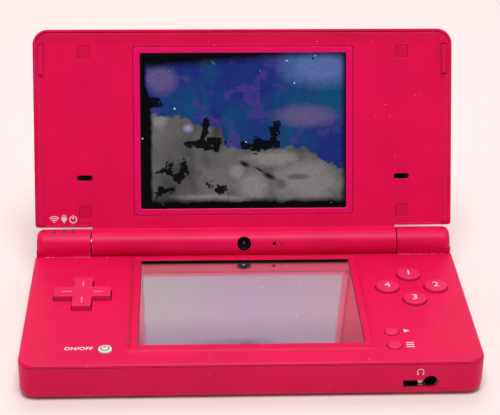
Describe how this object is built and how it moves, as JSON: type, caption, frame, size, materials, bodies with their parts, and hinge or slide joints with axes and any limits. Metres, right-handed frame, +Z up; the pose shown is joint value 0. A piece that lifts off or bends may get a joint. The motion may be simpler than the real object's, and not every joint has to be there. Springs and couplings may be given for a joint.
{
  "type": "clamshell handheld game console",
  "caption": "Clamshell handheld game console with hinged lid, upper display, lower touch screen, direction pad, push buttons, shoulder buttons, card slots and stylus.",
  "frame": {"origin": "centre of the closed console's footprint, on the underside it rests on", "axes": "+X to the right along the hinge, +Y from the front edge to the hinge, +Z up from the underside; the lid stands open at rest"},
  "size_m": [0.1374, 0.1007, 0.0794],
  "materials": {
    "shell": "satin moulded plastic with a fine grain",
    "deck": "satin moulded plastic with a fine grain",
    "button": "smooth moulded plastic",
    "power_cap": "milky moulded plastic",
    "steel": "plain stamped or turned steel",
    "board": "solder mask",
    "cell": "wrapped battery pack",
    "display": "display module",
    "touch": "glossy touch film over an unlit display",
    "lens": "glossy lens, black window in a coloured border",
    "camera_glass": "dark camera window",
    "rubber": "soft rubber",
    "black_plastic": "moulded black plastic",
    "flex": "rolled flexible circuit",
    "light": "clear light guide"
  },
  "bodies": {
    "base": {"base_lower_case": "shell", "base_upper_case": "deck", "hinge_cover_left": "shell", "hinge_cover_right": "shell", "battery_cover": "shell", "battery_cover_screw": "steel", "case_screws": "steel", "battery": "cell", "main_board": "board", "shield_can": "steel", "wireless_module": "board", "lower_lcd": "display", "touch_panel": "touch", "screen_gasket": "rubber", "face_button_pad": "rubber", "start_select_pad": "rubber", "power_pad": "rubber", "audio_jack": "black_plastic", "card_slot": "steel", "memory_card_slot": "steel", "power_socket": "black_plastic", "stylus_holder": "black_plastic", "hinge_shaft": "steel", "hinge_bush": "steel", "hinge_flex": "flex", "indicator_lights": "light", "shoulder_pins": "steel", "shoulder_springs": "steel", "shoulder_switches": "black_plastic", "volume_board": "board"},
    "lid": {"lid_outer_cover": "shell", "lid_inner_cover": "shell", "upper_lens": "lens", "upper_lcd": "display", "speakers": "black_plastic", "lid_screw_covers": "shell", "lid_screws": "steel", "lid_bumpers": "shell", "camera_module": "black_plastic", "camera_window": "camera_glass", "outer_camera": "camera_glass", "microphone": "black_plastic", "hinge_clutch": "steel", "hinge_bearing": "steel"},
    "dpad_pivot": {"dpad_pivot": "rubber"},
    "dpad": {"dpad": "button"},
    "button_top": {"face_button_top": "button"},
    "button_left": {"face_button_left": "button"},
    "button_right": {"face_button_right": "button"},
    "button_bottom": {"face_button_bottom": "button"},
    "start": {"start_button": "button"},
    "select": {"select_button": "button"},
    "power": {"power_button": "power_cap"},
    "shoulder_left": {"shoulder_left": "shell"},
    "shoulder_right": {"shoulder_right": "shell"},
    "volume_up": {"volume_up": "button"},
    "volume_down": {"volume_down": "button"},
    "memory_door": {"memory_card_door": "shell"},
    "stylus": {"stylus": "shell"}
  },
  "joints": [
    {"name": "lid_hinge", "type": "hinge", "parent": "base", "child": "lid", "pos_m": [0, 0.03265, 0.0141], "axis": [-1, 0, 0], "range_deg": [-112.6, 42.4]},
    {"name": "dpad_tip_front_back", "type": "hinge", "parent": "base", "child": "dpad_pivot", "pos_m": [-0.0516, 0.0028, 0.0081], "axis": [1, 0, 0], "range_deg": [-2.5, 2.5], "stiffness_Nm_per_rad": 0.2},
    {"name": "dpad_tip_left_right", "type": "hinge", "parent": "dpad_pivot", "child": "dpad", "pos_m": [-0.0516, 0.0028, 0.009], "axis": [0, 1, 0], "range_deg": [-2.5, 2.5], "stiffness_Nm_per_rad": 0.2},
    {"name": "face_button_top_press", "type": "slide", "parent": "base", "child": "button_top", "axis": [0, 0, -1], "range_m": [0, 0.0005], "stiffness_N_per_m": 1200},
    {"name": "face_button_left_press", "type": "slide", "parent": "base", "child": "button_left", "axis": [0, 0, -1], "range_m": [0, 0.0005], "stiffness_N_per_m": 1200},
    {"name": "face_button_right_press", "type": "slide", "parent": "base", "child": "button_right", "axis": [0, 0, -1], "range_m": [0, 0.0005], "stiffness_N_per_m": 1200},
    {"name": "face_button_bottom_press", "type": "slide", "parent": "base", "child": "button_bottom", "axis": [0, 0, -1], "range_m": [0, 0.0005], "stiffness_N_per_m": 1200},
    {"name": "start_press", "type": "slide", "parent": "base", "child": "start", "axis": [0, 0, -1], "range_m": [0, 0.0005], "stiffness_N_per_m": 1200},
    {"name": "select_press", "type": "slide", "parent": "base", "child": "select", "axis": [0, 0, -1], "range_m": [0, 0.0005], "stiffness_N_per_m": 1200},
    {"name": "power_press", "type": "slide", "parent": "base", "child": "power", "axis": [0, 0, -1], "range_m": [0, 0.0005], "stiffness_N_per_m": 1200},
    {"name": "shoulder_left_press", "type": "hinge", "parent": "base", "child": "shoulder_left", "pos_m": [-0.0483, 0.03455, 0.0058], "axis": [0, 0, 1], "range_deg": [0, 2.3], "stiffness_Nm_per_rad": 0.5},
    {"name": "shoulder_right_press", "type": "hinge", "parent": "base", "child": "shoulder_right", "pos_m": [0.0483, 0.03455, 0.0058], "axis": [0, 0, -1], "range_deg": [0, 2.3], "stiffness_Nm_per_rad": 0.5},
    {"name": "volume_up_press", "type": "slide", "parent": "base", "child": "volume_up", "axis": [1, 0, 0], "range_m": [0, 0.0004], "stiffness_N_per_m": 1200},
    {"name": "volume_down_press", "type": "slide", "parent": "base", "child": "volume_down", "axis": [1, 0, 0], "range_m": [0, 0.0004], "stiffness_N_per_m": 1200},
    {"name": "memory_door_hinge", "type": "hinge", "parent": "base", "child": "memory_door", "pos_m": [0.0678, 0.00855, 0.0037], "axis": [0, 1, 0], "range_deg": [0, 90]},
    {"name": "stylus_slide", "type": "slide", "parent": "base", "child": "stylus", "axis": [1, 0, 0], "range_m": [0, 0.095]}
  ]
}
